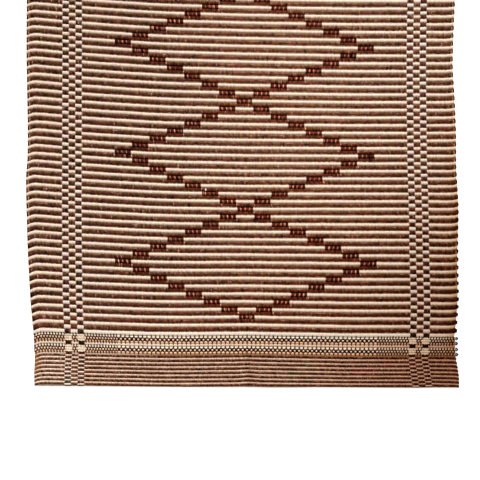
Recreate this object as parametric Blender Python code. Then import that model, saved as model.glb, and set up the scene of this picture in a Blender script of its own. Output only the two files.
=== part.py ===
"""Cotton runner rug: one flat length of rib-woven cloth, about 0.71 m wide and 1.64 m long.

The warp is dark and cream cotton, end beside end, and closes right over the weft. A thick weft in
the field and a finer one in the borders and hems make ribs that run from side to side. The rug lies
face up along Y. Its origin is the middle of its underside, and its near end is at -Y.
"""

import bmesh
import bpy

MM = 0.001

# From either end towards the middle: name, number of ribs, and in mm the depth of a rib along the
# rug and the height of its crest and of the valley after it
END_BANDS = (
    ("hem", 15, 3.38, 4.2, 3.4),
    ("tan line", 1, 2.80, 4.2, 3.5),
    ("lower checks", 3, 4.25, 4.6, 3.7),
    ("thin line", 1, 4.40, 4.7, 3.7),
    ("upper checks", 3, 4.25, 4.6, 3.7),
    ("cream rib", 1, 6.80, 5.0, 3.6),
)
FIELD_BAND = ("field", 231, 6.33, 5.0, 3.6)

# Across a rib: the share of its depth where its crest starts and ends
CREST_STARTS, CREST_ENDS = 0.28, 0.72
FOLD_HEIGHT = 2.6  # mm, the top of the rounded fold at the end of each hem

# How the cloth lies, measured from the near end in mm: the place of the pattern's middle line, the
# reach of the left and right edge from it, how far the rows climb towards the left in a straight
# slope and in a late curl, and how far they drop on the right
COLUMNS = ("along", "middle", "left", "right", "slope", "curl", "drop")
LIE = (
    (0, 8.8, 348.5, 343.8, 0.0, 3.8, 1.3),
    (23, 7.4, 347.9, 344.4, 0.0, 3.4, 2.6),
    (49, 6.2, 346.4, 341.3, 0.0, 3.4, 3.3),
    (68, 6.6, 348.0, 341.4, 0.0, 5.0, 3.2),
    (87, 6.5, 348.3, 341.9, 0.0, 6.6, 3.1),
    (104, 6.3, 350.6, 342.6, 0.0, 7.5, 3.1),
    (138, 5.9, 355.4, 346.2, 1.0, 7.9, 2.8),
    (215, 4.4, 356.0, 348.9, 3.6, 7.9, 1.7),
    (290, 3.6, 357.8, 350.5, 7.3, 7.9, 0.3),
    (363, 2.6, 356.9, 348.7, 8.8, 7.9, 0.8),
    (478, 2.0, 354.7, 346.1, 10.8, 7.9, 2.6),
    (530, 2.0, 355.2, 343.6, 11.4, 7.9, 3.1),
    (700, 3.0, 356.5, 346.0, 11.6, 7.0, 2.0),
    (900, 2.0, 357.0, 348.5, 9.0, 6.0, 1.0),
    (1150, -1.0, 356.0, 347.5, 5.0, 5.0, 2.0),
    (1350, -2.0, 355.0, 349.0, 2.0, 4.0, 1.0),
    (1490, -2.5, 354.4, 347.5, 0.5, 3.0, 1.0),
    (1540, -3.0, 349.6, 343.2, 0.0, 2.5, 1.5),
    (1594, -3.2, 347.2, 341.6, 0.0, 2.0, 2.0),
    (1643, -4.0, 348.6, 344.6, 0.0, 2.0, 2.0),
)
SPREAD = 343.5  # mm, the reach from the middle line that slope and curl are given for
CURL_POWER = 3.2  # the curl stays close to the left edge
DROP_FULL_AT = 0.5  # share of the spread at which the rows have dropped all the way
ACROSS = (-1.0, -0.72, -0.30, 0.45, 1.0)  # lines of points, as shares of the reach to an edge

# How far the turn of a rib's weft stands out past the valleys at the edges, in mm
DARK_TURN, LIGHT_TURN = 2.4, 1.0

COTTON = (0.36, 0.22, 0.15, 1.0)  # cream and dark brown cotton seen from a step away


def clear_scene():
    """Removes every object, so that the file holds the rug alone."""
    for item in list(bpy.data.objects):
        bpy.data.objects.remove(item, do_unlink=True)


def lie(along, column):
    """One column of the table at a distance from the near end, on a smooth curve through its rows."""
    at = COLUMNS.index(column)
    last = len(LIE) - 1
    index = max(i for i in range(last) if i == 0 or LIE[i][0] <= along)
    start, end = LIE[index], LIE[index + 1]
    before, after = LIE[max(index - 1, 0)], LIE[min(index + 2, last)]
    span = end[0] - start[0]
    share = min(max((along - start[0]) / span, 0.0), 1.0)
    slope_in = (end[at] - before[at]) / (end[0] - before[0]) * span
    slope_out = (after[at] - start[at]) / (after[0] - start[0]) * span
    rest = 1.0 - share
    return (
        start[at] * (1 + 2 * share) * rest**2
        + slope_in * share * rest**2
        + end[at] * share**2 * (3 - 2 * share)
        - slope_out * share**2 * rest
    )


def ribs():
    """Every rib from the near end to the far one: depth, crest, valley after it and if it is dark."""
    near = [band[2:] for band in END_BANDS for _ in range(band[1])]
    field = [FIELD_BAND[2:]] * FIELD_BAND[1]
    sizes = near + field + near[::-1]
    first_field = len(near)
    listed = []
    for index, (depth, crest, valley) in enumerate(sizes):
        dark = (index - first_field) % 2 == 0
        listed.append((depth, crest, valley, dark))
    return listed


def lines():
    """The lines of points along each rib: distance from the near end, height and reach of the turn."""
    laid = [(0.0, FOLD_HEIGHT, 0.0)]
    along = 0.0
    every = ribs()
    for index, (depth, crest, valley, dark) in enumerate(every):
        turn = DARK_TURN if dark else LIGHT_TURN
        laid.append((along + CREST_STARTS * depth, crest, turn))
        laid.append((along + CREST_ENDS * depth, crest, turn))
        along += depth
        if index < len(every) - 1:
            laid.append((along, min(valley, every[index + 1][2]), 0.0))
    laid.append((along, FOLD_HEIGHT, 0.0))
    return laid


def place(share, along, height, turn):
    """A point of the cloth in mm, at a share of the reach to the left (below 0) or right edge."""
    side = "left" if share < 0 else "right"
    reach = lie(along, side) * abs(share)
    if abs(share) == 1.0:
        reach += turn
    spread = reach / SPREAD
    if share < 0:
        rise = lie(along, "slope") * spread + lie(along, "curl") * spread**CURL_POWER
        return (lie(along, "middle") - reach, along + rise, height)
    drop = lie(along, "drop") * min(1.0, spread / DROP_FULL_AT)
    return (lie(along, "middle") + reach, along - drop, height)


def centred(points):
    """The same points in metres, moved so that their box is centred over the origin."""
    middle = [(min(p[axis] for p in points) + max(p[axis] for p in points)) / 2 for axis in (0, 1)]
    return [((x - middle[0]) * MM, (y - middle[1]) * MM, z * MM) for x, y, z in points]


def build_cloth():
    """The ribbed face over a flat underside, closed at the edges."""
    laid = lines()
    width = len(ACROSS)
    rib_starts = range(0, len(laid), 3)
    top = [place(share, *line) for line in laid for share in ACROSS]
    base = [place(share, laid[i][0], 0.0, 0.0) for i in rib_starts for share in (-1.0, 1.0)]
    bm = bmesh.new()
    verts = [bm.verts.new(point) for point in centred(top + base)]
    under = verts[len(top) :]

    def point(line, column):
        return verts[line * width + column]

    for line in range(len(laid) - 1):
        for column in range(width - 1):
            bm.faces.new(
                (
                    point(line, column),
                    point(line, column + 1),
                    point(line + 1, column + 1),
                    point(line + 1, column),
                )
            )
    for rib, line in enumerate(rib_starts[:-1]):
        for side, column in ((0, 0), (1, width - 1)):
            near, far = under[2 * rib + side], under[2 * rib + 2 + side]
            valley, crest_in, crest_out, valley_out = (point(line + n, column) for n in range(4))
            for corners in (
                (near, valley, crest_in),
                (near, crest_in, crest_out),
                (near, crest_out, far),
                (far, crest_out, valley_out),
            ):
                bm.faces.new(corners if side else corners[::-1])
        bm.faces.new([under[2 * rib + n] for n in (0, 2, 3, 1)])
    for line, left in ((0, 0), (len(laid) - 1, len(under) - 2)):
        bm.faces.new([point(line, n) for n in range(width)] + [under[left + 1], under[left]])
    bmesh.ops.recalc_face_normals(bm, faces=bm.faces)
    mesh = bpy.data.meshes.new("rug")
    bm.to_mesh(mesh)
    bm.free()
    return mesh


def cotton():
    """Undyed cream and dark brown cotton, dry and matt."""
    material = bpy.data.materials.new("cotton_cloth")
    material.use_nodes = True
    shader = material.node_tree.nodes["Principled BSDF"]
    shader.inputs["Base Color"].default_value = COTTON
    shader.inputs["Roughness"].default_value = 0.92
    shader.inputs["Metallic"].default_value = 0.0
    return material


def build_rug():
    """The rug as one object, with its material."""
    mesh = build_cloth()
    mesh.shade_smooth()
    mesh.materials.append(cotton())
    rug = bpy.data.objects.new("rug", mesh)
    bpy.context.scene.collection.objects.link(rug)
    return rug


clear_scene()
build_rug()
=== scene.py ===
"""Looks of the cotton runner rug: one warp-faced rib weave in cream and dark brown cotton.

The cloth is measured the way a weaver counts it. Across, a place is a number of warp ends from the
pattern's middle line. Along, it is a number of picks from the near hem, each pick being one rib.
"""

import math
from collections import namedtuple
from types import SimpleNamespace

import bpy
import numpy as np
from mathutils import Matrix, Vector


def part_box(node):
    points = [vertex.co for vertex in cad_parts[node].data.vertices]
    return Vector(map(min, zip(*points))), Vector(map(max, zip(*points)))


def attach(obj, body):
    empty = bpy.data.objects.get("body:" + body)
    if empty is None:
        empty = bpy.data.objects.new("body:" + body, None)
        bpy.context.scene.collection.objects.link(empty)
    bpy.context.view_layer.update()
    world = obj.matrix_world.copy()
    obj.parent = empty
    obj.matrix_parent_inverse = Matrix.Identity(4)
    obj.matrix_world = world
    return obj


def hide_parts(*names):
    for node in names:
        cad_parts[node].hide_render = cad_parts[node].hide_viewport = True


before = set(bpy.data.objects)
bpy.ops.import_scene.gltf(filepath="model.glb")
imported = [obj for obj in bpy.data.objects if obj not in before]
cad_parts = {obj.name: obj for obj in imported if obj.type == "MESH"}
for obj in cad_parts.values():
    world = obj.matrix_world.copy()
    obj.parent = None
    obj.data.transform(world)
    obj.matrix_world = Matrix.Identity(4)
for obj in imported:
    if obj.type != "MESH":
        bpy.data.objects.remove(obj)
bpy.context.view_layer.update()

MM = 0.001
SEED = 27

# The weave. Sizes are in mm, and crest and valley are heights of the face above the floor.
Band = namedtuple("Band", "ribs depth crest valley cream brown")
HEM = Band(15, 3.38, 4.2, 2.6, "#E9CBBA", "#50240F")
TAN_LINE = Band(1, 3.10, 4.0, 3.2, "#B4875F", "#6A3414")
CHECK_ROWS = (
    Band(1, 3.95, 4.5, 3.3, "#FAD4B4", "#6E3416"),  # peach
    Band(1, 3.95, 4.5, 3.3, "#FFEAD4", "#3A1408"),  # small
    Band(1, 3.95, 4.6, 3.3, "#FFFAEA", "#54260F"),  # bright
)
THIN_LINE = Band(1, 4.85, 4.7, 3.3, "#FFF0E0", "#2C1608")
CREAM_RIB = Band(1, 7.25, 5.0, 3.2, "#FFF6EC", "#40200E")
FIRST_DARK_RIB = Band(1, 6.83, 5.0, 2.6, "#FFF2E9", "#63311F")
FIELD = Band(229, 6.33, 5.0, 2.6, "#FFF2E9", "#63311F")
NEAR_BANDS = (HEM, TAN_LINE, *CHECK_ROWS, THIN_LINE, *CHECK_ROWS, CREAM_RIB, FIRST_DARK_RIB)
BANDS = (*NEAR_BANDS, FIELD, *NEAR_BANDS[::-1])
FIRST_FIELD_RIB = sum(band.ribs for band in NEAR_BANDS) - 1
THIN_LINE_MIDDLE = HEM.ribs + TAN_LINE.ribs + len(CHECK_ROWS) + 0.5  # picks from a hem's edge
DIAMONDS_FROM = FIRST_FIELD_RIB + 3  # picks too

FOLD_TOP, FOLD_LINE, FOLD_UNDER = 3.4, 3.0, 0.9  # mm, a fold's face, outermost line and underside
FOLD_SHARE = 0.25  # of a rib's depth, how far the fold's last rib runs on past the hem
FOLD_SHOWS = ((-60, 0.8), (10, -0.6), (60, -0.4), (120, 1.3))  # ends, mm that the near fold draws back
TURNED_FOLD_SHOWS = 1.5  # mm, how much further it runs on in columns A and C
UNDER_VALLEY = 1.2  # mm, how far the valleys of the underside stay off the floor
PATCH_SWELLS = 0.6  # mm, how far the cream patches between the checks stand up
PATCH_ROUND, PATCH_FLAT = 5.0, 1.6  # ends from its middle to its foot, and how flat its top is
RIB_SQUARE, RIB_FULL = 3.0, 0.58  # how square and how full the round of a rib is
ROW_UNEVEN, CREST_UNEVEN = 0.14, 0.06  # mm, how unevenly the valleys run and the crests stand
EDGE_HEIGHT = 2.3  # mm, the outermost line of a selvage
EDGE_ROUND = 2.2  # ends, over which a selvage rounds down

# Warp ends from the middle line: the field, then columns C, B and A with a cream end between them,
# then the outer band, which ends in the selvage
FIELD_END = 224.5
LEFT_END, RIGHT_END = 293.0, 288.0
EVEN_END = 251.0  # how far out the ends are spaced as in the field
COLUMN_MIDDLE = 237.5  # the middle of column B
COLUMN_STEP = 9.0  # ends from the middle of column B to the middle of A or C
DIAMOND_STEP = 24  # ends from one block of a diamond to the next
DIAMOND_ARM = 7  # blocks from a diamond's tip to its widest place
FLECK_STEP = 6  # ends from one cream fleck in a block to the next
SLIPPED_END, SLIPPED_PICK = -53.8, 60.55  # where one cream end shows out of turn

# How the cloth lies, measured from the near end in mm: the place of the pattern's middle line, the
# half width of the field, the reach of the left and right edge, how far the rows climb towards the
# left in a straight slope and in a late curl, how far they drop on the right, how far uneven
# beating has moved them towards the far end, and how far the right selvage turns up
Lie = namedtuple("Lie", "along middle field left right slope curl drop beat lift")
LIE = (
    Lie(0, 8.8, 269.3, 350.3, 345.2, 0.3, 3.8, 1.3, -0.5, -1.0),
    Lie(23, 7.4, 267.7, 349.4, 345.8, 0.3, 3.4, 2.6, -0.5, -1.0),
    Lie(49, 6.2, 265.5, 347.2, 342.6, 0.3, 3.4, 3.1, -0.5, -0.8),
    Lie(68, 6.6, 265.8, 349.0, 340.6, 0.5, 5.0, 2.8, -0.4, 0.0),
    Lie(78, 6.5, 266.6, 349.2, 340.9, 0.9, 6.0, 2.2, -0.3, 0.3),
    Lie(87, 6.5, 267.3, 349.3, 341.3, 0.4, 6.6, 2.8, -0.25, 0.6),
    Lie(104, 6.3, 267.9, 351.1, 342.6, 0.3, 7.5, 3.1, 0.3, 1.2),
    Lie(138, 5.9, 269.0, 353.8, 345.7, 1.0, 7.9, 2.8, 0.3, 1.2),
    Lie(180, 5.1, 268.8, 355.5, 346.4, 2.3, 7.9, 2.3, 0.6, 1.4),
    Lie(215, 4.4, 268.6, 356.7, 347.1, 3.8, 7.9, 1.7, 0.8, 1.8),
    Lie(245, 4.1, 268.4, 357.4, 347.8, 5.5, 7.9, 1.0, 0.3, 2.2),
    Lie(290, 3.6, 268.2, 358.2, 349.0, 7.6, 7.9, 0.1, -0.45, 2.4),
    Lie(335, 3.0, 267.5, 357.9, 347.2, 8.9, 7.9, 0.3, -1.2, 2.2),
    Lie(363, 2.6, 267.0, 355.4, 346.3, 9.5, 7.9, 0.5, -1.55, 1.8),
    Lie(410, 2.3, 266.7, 354.7, 346.4, 9.8, 7.9, 1.3, -1.45, 1.6),
    Lie(478, 2.0, 266.3, 355.4, 344.0, 11.2, 7.9, 2.6, -0.65, 1.8),
    Lie(530, 2.0, 266.0, 356.4, 341.2, 11.9, 7.9, 3.1, 0.1, 1.9),
    Lie(700, 3.0, 267.2, 356.5, 346.0, 11.6, 7.0, 2.0, 0.8, 1.0),
    Lie(900, 2.0, 268.0, 357.0, 348.5, 9.0, 6.0, 1.0, -0.6, 1.5),
    Lie(1150, -1.0, 267.2, 356.0, 347.5, 5.0, 5.0, 2.0, 0.9, 0.8),
    Lie(1350, -2.0, 268.2, 355.0, 349.0, 2.0, 4.0, 1.0, -0.8, 1.2),
    Lie(1490, -2.5, 268.4, 354.4, 347.5, 0.5, 3.0, 1.0, 0.4, 0.6),
    Lie(1540, -3.0, 266.0, 349.6, 343.2, 0.0, 2.5, 1.5, 0.2, 0.3),
    Lie(1594, -3.2, 265.8, 347.2, 341.6, 0.0, 2.0, 2.0, 0.0, 0.0),
    Lie(1643, -4.0, 268.5, 348.6, 344.6, 0.0, 2.0, 2.0, 0.0, 0.0),
)
SPREAD = 343.5  # mm, the reach from the middle line that slope and curl are given for
CURL_POWER = 3.2
DROP_FULL_AT = 0.5  # share of the spread at which the rows have dropped all the way
DIP, DIP_AT, DIP_WIDE = 1.1, 130.0, 75.0  # mm, the rows sag a little to the left of the middle
DROOP_FROM, LIFT_FROM = 18.0, 12.0  # mm inside the left and the right edge
SAG = ((0, 0.2), (9, 0.85), (18, 1.0), (30, 0.8), (50, 0.3), (70, 0))  # inside the right edge, mm down
SAG_ALONG = ((50, 0), (70, 0.4), (95, 0.9), (215, 0.9), (260, 0.6), (300, 0.3), (400, 0))
HEM_RISE, HEM_RISE_AT, HEM_RISE_WIDE = 0.9, 45.0, 16.0  # mm, the hem rises again inside its right edge
HEM_RIPPLE, HEM_RIPPLE_WIDE = 1.1, 11.0  # mm and ends, the hem rises on the middle line too
RISES_FADE = 70.0  # mm from the near end, where both rises have faded away
LEFT_DROOP = ((0, 3.8), (50, 5.8), (120, 6.4), (200, 6.5), (520, 5.3))  # along, how far the edge droops

# How plainly the cream end inside each selvage shows, by picks from the near hem
LEFT_LINE = ((0, 0), (44, 0), (52, 1), (120, 0.9), (180, 0.6), (220, 1), (240, 0.3), (255, 0))
RIGHT_LINE = (
    (33, 0), (37, 1), (46, 1), (51, 0), (62, 0), (67, 1), (120, 0.8), (150, 0.2), (180, 0.9), (235, 1),
    (250, 0),
)

# How far the turn of a pick at a selvage stands out past the valleys, in mm
TURN_FROM = 6.0  # ends inside an edge, where the turn starts to swell
TURN_BLUNT = 0.45  # how blunt the turn is beside the round of its rib
TURN_GROWS = 1.5  # how much faster than its rib's depth the turn grows
LEFT_TURNS = (0.8, 0.4)  # cream picks, dark picks
RIGHT_CREAM_TURN = ((0, 0.1), (70, 0.1), (84, -1.6), (100, -0.6), (215, -0.3), (300, 0.1))  # by mm along
RIGHT_DARK_TURN = ((0, 1.4), (60, 2.7), (200, 2.0), (250, 1.0), (560, 0.8), (800, 1.6))

# A pixel of the photograph is this wide on the rug, in mm, and the camera looks straight down
PIXEL = 1.6355
PICTURE = 480
MIDDLE_COLUMN, NEAR_EDGE_ROW = 243.0, 386.3
LENS, SENSOR = 85.0, 36.0

SUN_STRENGTH = 3.6
SUN_SOFT, SUN_TURN = 25, (-57, 6, 0)  # degrees
SURROUND_STRENGTH = 0.32
FLOOR_HALF, FLOOR_HEIGHT = 5.0, -0.0003  # m

TABLE = np.array(LIE)


def read_off(values, table):
    return np.interp(values, *zip(*table))


def hump(values, middle, wide):
    """1 at a place, falling away softly on both sides of it."""
    return np.exp(-(((values - middle) / wide) ** 2))


def lie(along):
    """How the cloth lies at a distance from the near end, on a smooth curve through the table."""
    stations = TABLE[:, 0]
    last = len(TABLE) - 1
    start = int(np.clip(np.searchsorted(stations, along, side="right") - 1, 0, last - 1))

    def slope(row):
        before, after = TABLE[max(row - 1, 0)], TABLE[min(row + 1, last)]
        return (after - before) / (after[0] - before[0])

    span = stations[start + 1] - stations[start]
    share = min(max((along - stations[start]) / span, 0.0), 1.0)
    rest = 1.0 - share
    return Lie(
        *(
            TABLE[start] * (1 + 2 * share) * rest**2
            + slope(start) * span * share * rest**2
            + TABLE[start + 1] * share**2 * (3 - 2 * share)
            - slope(start + 1) * span * share**2 * rest
        )
    )


Rib = namedtuple("Rib", "band start depth crest valley dark")


def list_ribs():
    """Every rib from the near hem to the far one. Dark and cream ones take turns."""
    ribs = []
    start = 0.0
    for band in BANDS:
        for _ in range(band.ribs):
            dark = len(ribs) % 2 == 0
            ribs.append(Rib(band, start, band.depth, band.crest, band.valley, dark))
            start += band.depth
    return ribs


RIBS = list_ribs()
LAST_RIB = len(RIBS) - 1
PICKS = len(RIBS)


def swell(share):
    """How full a rib is at a share of its depth: 0 in the valleys, 1 on a round crest."""
    return (1 - min(abs(2 * share - 1), 1.0) ** RIB_SQUARE) ** RIB_FULL


class Unevenness:
    """Slow waves along each valley, so that no two ribs run quite alike."""

    def __init__(self, size, seed):
        chance = np.random.default_rng(seed)
        self.waves = (0.011, 0.026, 0.061)  # turns for each end
        lines = LAST_RIB + 2
        self.size = size * chance.uniform(0.3, 1.0, (lines, len(self.waves)))
        self.phase = chance.uniform(0, 2 * np.pi, (lines, len(self.waves)))

    def along_valley(self, line, ends):
        waves = np.outer(ends, self.waves) * 2 * np.pi + self.phase[line]
        return (np.sin(waves) * self.size[line]).sum(axis=1)

    def at(self, rib, share, ends):
        return (1 - share) * self.along_valley(rib, ends) + share * self.along_valley(rib + 1, ends)


row_waves = Unevenness(ROW_UNEVEN, SEED)
crest_waves = Unevenness(CREST_UNEVEN, SEED + 1)


def near_fade(along, reach):
    """1 at the near hem, falling smoothly to 0 at a distance from it in mm."""
    share = np.clip(along / reach, 0.0, 1.0)
    return 1 - share * share * (3 - 2 * share)


def last_end(ends):
    """The outermost end on the side of each end."""
    return np.where(ends < 0, LEFT_END, RIGHT_END)


def edge_line(ends, pick):
    """How plainly the cream end inside the selvage shows beside each end."""
    return np.where(ends < 0, read_off(pick, LEFT_LINE), read_off(pick, RIGHT_LINE))


def turned_over(ends):
    """1 in the middle of columns A and C, falling to 0 at their sides."""
    from_middle = np.abs(np.abs(np.abs(ends) - COLUMN_MIDDLE) - COLUMN_STEP)
    return np.clip(PATCH_FLAT * (1 - (from_middle / PATCH_ROUND) ** 2), 0, 1)


def lay(ends, rib, share):
    """Where warp ends lie at a place in a rib, in mm from the table's zero and the near end."""
    along = RIBS[rib].start + share * RIBS[rib].depth
    here = lie(along)
    left = ends < 0
    count = np.abs(ends)
    reach = np.where(left, here.left, here.right)
    pitch = here.field / FIELD_END
    outer_pitch = (reach - EVEN_END * pitch) / (last_end(ends) - EVEN_END)
    out = np.minimum(count, EVEN_END) * pitch + np.maximum(count - EVEN_END, 0) * outer_pitch
    inside_edge = reach - out
    right_turn = RIGHT_DARK_TURN if RIBS[rib].dark else RIGHT_CREAM_TURN
    turn = np.where(left, LEFT_TURNS[RIBS[rib].dark], read_off(along, right_turn))
    turn = turn * (RIBS[rib].depth / FIELD.depth) ** TURN_GROWS * swell(share) ** TURN_BLUNT
    out += turn * np.clip(1 - (last_end(ends) - count) / TURN_FROM, 0, 1) ** 2
    spread = out / SPREAD
    rise = here.slope * spread + here.curl * spread**CURL_POWER
    rise -= DIP * hump(out, DIP_AT, DIP_WIDE)
    rise -= read_off(along, LEFT_DROOP) * np.clip(1 - inside_edge / DROOP_FROM, 0, 1) ** 2
    drop = here.drop * np.minimum(1.0, spread / DROP_FULL_AT)
    drop -= here.lift * np.clip(1 - inside_edge / LIFT_FROM, 0, 1) ** 2
    drop += read_off(inside_edge, SAG) * read_off(along, SAG_ALONG)
    hem_rise = HEM_RISE * hump(inside_edge, HEM_RISE_AT, HEM_RISE_WIDE)
    drop -= hem_rise * near_fade(along, RISES_FADE)
    ripple = HEM_RIPPLE * hump(ends, 0, HEM_RIPPLE_WIDE) * near_fade(along, RISES_FADE)
    x = here.middle + np.where(left, -out, out)
    y = along + here.beat + np.where(left, rise, -drop) + ripple
    y += row_waves.at(rib, min(max(share, 0), 1), ends)
    if share < 0:
        y += read_off(ends, FOLD_SHOWS) - TURNED_FOLD_SHOWS * turned_over(ends)
    return x, y


def round_off(height, ends):
    """A height brought down, or up, to the line of the selvage over the outermost ends."""
    inset = last_end(ends) - np.abs(ends)
    full = np.sqrt(1 - np.clip(1 - inset / EDGE_ROUND, 0, 1) ** 2)
    return EDGE_HEIGHT + (height - EDGE_HEIGHT) * full


def at_fold(rib, share):
    return (rib == 0 and share < 0.5) or (rib == LAST_RIB and share > 0.5)


def face_height(ends, rib, share):
    """Height of the face in mm, rounded over at the selvages."""
    this = RIBS[rib]
    if share < 0 or share > 1:
        return round_off(FOLD_LINE + 0 * ends, ends)
    beside = RIBS[max(rib - 1, 0)] if share < 0.5 else RIBS[min(rib + 1, LAST_RIB)]
    valley = FOLD_TOP if at_fold(rib, share) else min(this.valley, beside.valley)
    crest = this.crest + crest_waves.at(rib, share, ends)
    height = valley + (crest - valley) * swell(share)
    if this.band in CHECK_ROWS:
        height = height + turned_over(ends) * (this.crest + PATCH_SWELLS - height)
    return round_off(height, ends)


def under_height(ends, rib, share):
    """Height of the underside in mm. Its crests lie on the floor."""
    valley = FOLD_UNDER if at_fold(rib, share) else UNDER_VALLEY
    return round_off(valley * (1 - swell(share)) + 0 * ends, ends)


# Where points lie: ends in from a selvage, a block's outermost edge and a place on the underside
FACE_INSETS = (0, 0.4, 1.1, EDGE_ROUND, 5, 10, 20)
UNDER_INSETS = (0.6, EDGE_ROUND)
OUTER_BLOCK_EDGE = 204
UNDER_PLACE = 75.0


def face_ends():
    """The warp ends that carry points of the face, from the left edge to the right one."""
    sides = []
    for last in (LEFT_END, RIGHT_END):
        edge = [last - inset for inset in FACE_INSETS]
        columns = [COLUMN_MIDDLE + half * COLUMN_STEP / 2 for half in (3, 2, 1, 0, -1, -2)]
        blocks = list(range(OUTER_BLOCK_EDGE, 0, -DIAMOND_STEP))
        sides.append(edge + columns + [FIELD_END] + blocks)
    left, right = sides
    middle = [FLECK_STEP * step for step in range(-3, 4)]
    return np.array([-end for end in left[:-1]] + middle + right[-2::-1])


def under_ends():
    """The warp ends that carry points of the underside, from the right edge back to the left one."""
    right, left = (
        [last - inset for inset in UNDER_INSETS] + [FIELD_END, UNDER_PLACE]
        for last in (RIGHT_END, LEFT_END)
    )
    return np.array(right + [-end for end in left[::-1]])


COARSE_ROWS = (0.0, 0.10, 0.28, 0.50, 0.72, 0.90)
FINE_ROWS = (0.0, 0.20, 0.50, 0.80)
FINEST_COARSE = 5.0  # mm, ribs deeper than this take the coarse weave's rows of points


def linear(code):
    """A colour written as sRGB hex, as the linear values that Blender works in."""
    parts = [int(code[at : at + 2], 16) / 255 for at in (1, 3, 5)]
    return [c / 12.92 if c <= 0.04045 else ((c + 0.055) / 1.055) ** 2.4 for c in parts] + [1.0]


# How far the yarn is darkened, by warp ends across the hem, across the field and across the field's near
# right corner, and how the first and the last fade away from the near hem, in mm. Across the hem and the
# corner this is painted shade, and below zero in the hem it is painted light.
HEM_PAINTED_LIGHT_AND_SHADE = (
    (-290, -0.35), (-250, -0.3), (-215, -0.06), (-60, 0), (0, 0.1), (85, 0.22), (155, 0.42), (205, 0.66),
    (260, 0.92),
)
# Painted light and painted shade on the two flanks of the ripple in the hem
HEM_RIPPLE_LIGHT_AND_SHADE = ((-0.2, -8, 4), (0.25, 3, 6))  # how much lighter or deeper, at which end and how wide
HEM_FADES = ((46, 1), (60, 0.3), (68, 0))
FIELD_DEEP = ((-290, 0.2), (-150, 0.17), (0, 0.08), (80, 0.03), (200, 0.02), (230, 0.12), (290, 0.15))
CORNER_PAINTED_SHADE = ((-100, 0), (16, 0.18), (85, 0.3), (154, 0.42), (205, 0.55), (272, 0.82))
CORNER_FADES = ((50, 1.1), (116, 1), (174, 0.85), (247, 0.55), (329, 0.25), (411, 0.12), (500, 0))
EDGE_REACH = 9.0  # ends in from the right edge, over which the yarn is more golden
EDGE_FADES = 600.0  # mm from the near end, where that has faded away
HEM_EDGE_LOSS = 0.7  # how much less golden the edge of the hem is

# What the yarn is multiplied by at full strength in the hem, in the field and at the right edge; in the
# hem and the field's near right corner this is painted shade
CREAM_TINTS = ("#BFA799", "#CBBCB0", "#DECBA8")
BROWN_TINTS = ("#BD6A3A", "#996137", "#F0BC78")

# How light the dark yarn is, by warp ends and by mm from the near hem
LIGHT_ACROSS = ((-290, 0), (-140, 0.1), (-40, 0.7), (60, 1), (140, 0.85), (200, 0.4), (290, 0.3))
LIGHT_ALONG = ((60, 0.55), (200, 0.65), (330, 0.9), (460, 1))
RUST_ALONG = ((18, 0), (26, 1), (48, 1), (56, 0))  # where the left edge of the hem has a rusty patch
RUST_REACH = 7.0  # ends


def painted_shade_and_tone(ends, alongs):
    """How far the cream and the dark yarn are darkened in the hem, in the field and at the right edge.
    In the hem and towards the near right corner this is painted shade, and the near right corner is the
    deepest."""
    inset = last_end(ends) - np.abs(ends)
    hem = read_off(ends, HEM_PAINTED_LIGHT_AND_SHADE)
    # Painted light on the ripple's left flank and painted shade on its right one
    for amount, middle, wide in HEM_RIPPLE_LIGHT_AND_SHADE:
        hem += amount * hump(ends, middle, wide)
    hem_fade = read_off(alongs, HEM_FADES)
    corner = read_off(ends, CORNER_PAINTED_SHADE) * read_off(alongs, CORNER_FADES)
    edge = np.where(ends > 0, hump(inset, 0, EDGE_REACH), 0) * near_fade(alongs, EDGE_FADES)
    in_hem, in_field = hem * hem_fade, corner * (1 - hem_fade)
    at_edge = edge * (1 - HEM_EDGE_LOSS * hem_fade)
    all_over = read_off(ends, FIELD_DEEP) * (1 - hem_fade)
    return (in_hem, in_field + all_over, at_edge), (in_hem, in_field, at_edge)


def tint(amounts, codes):
    """What the yarn is multiplied by where it is darkened that far; in the hem and the corner that is
    painted shade.
    """
    tinted = np.ones((len(amounts[0]), 4))
    for amount, code in zip(amounts, codes):
        tinted[:, :3] *= np.array(linear(code)[:3]) ** amount[:, None]
    return tinted


def rust(ends, alongs):
    """How rusty the yarn is at the left edge of the near hem."""
    inset = last_end(ends) - np.abs(ends)
    return np.where(ends < 0, hump(inset, 0, RUST_REACH), 0) * read_off(alongs, RUST_ALONG)


Woven = namedtuple("Woven", "points faces ends picks alongs rib_of_face is_under")


def weave_cloth():
    """The whole cloth as one closed mesh, with the end, the pick and the distance at each point."""
    face, under = face_ends(), under_ends()
    points, picks, alongs = [], [], []
    places = [(0, -FOLD_SHARE)]
    for rib, this in enumerate(RIBS):
        shares = COARSE_ROWS if this.depth > FINEST_COARSE else FINE_ROWS
        places += [(rib, share) for share in shares]
    places += [(LAST_RIB, 1.0), (LAST_RIB, 1.0 + FOLD_SHARE)]
    ring = len(face) + len(under)
    for rib, share in places:
        picks += [rib + share] * ring
        alongs += [RIBS[rib].start + share * RIBS[rib].depth] * ring
        for ends, height in ((face, face_height), (under, under_height)):
            x, y = lay(ends, rib, share)
            points.append(np.column_stack((x, y, height(ends, rib, share))))
    index = np.arange(len(places) * ring).reshape(len(places), ring)
    turned = np.roll(index, -1, axis=1)
    quads = np.stack((index[:-1], turned[:-1], turned[1:], index[1:]), axis=2).reshape(-1, 4)
    strip_rib = np.repeat([rib for rib, _ in places[:-1]], ring)
    strip_under = np.tile(np.arange(ring) >= len(face) - 1, len(places) - 1)
    return Woven(
        points=np.concatenate(points),
        faces=quads.tolist() + [index[0].tolist()[::-1], index[-1].tolist()],
        ends=np.tile(np.concatenate((face, under)), len(places)),
        picks=np.array(picks),
        alongs=np.array(alongs),
        rib_of_face=np.concatenate((strip_rib, [0, LAST_RIB])),
        is_under=np.concatenate((strip_under, [False, False])),
    )


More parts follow.
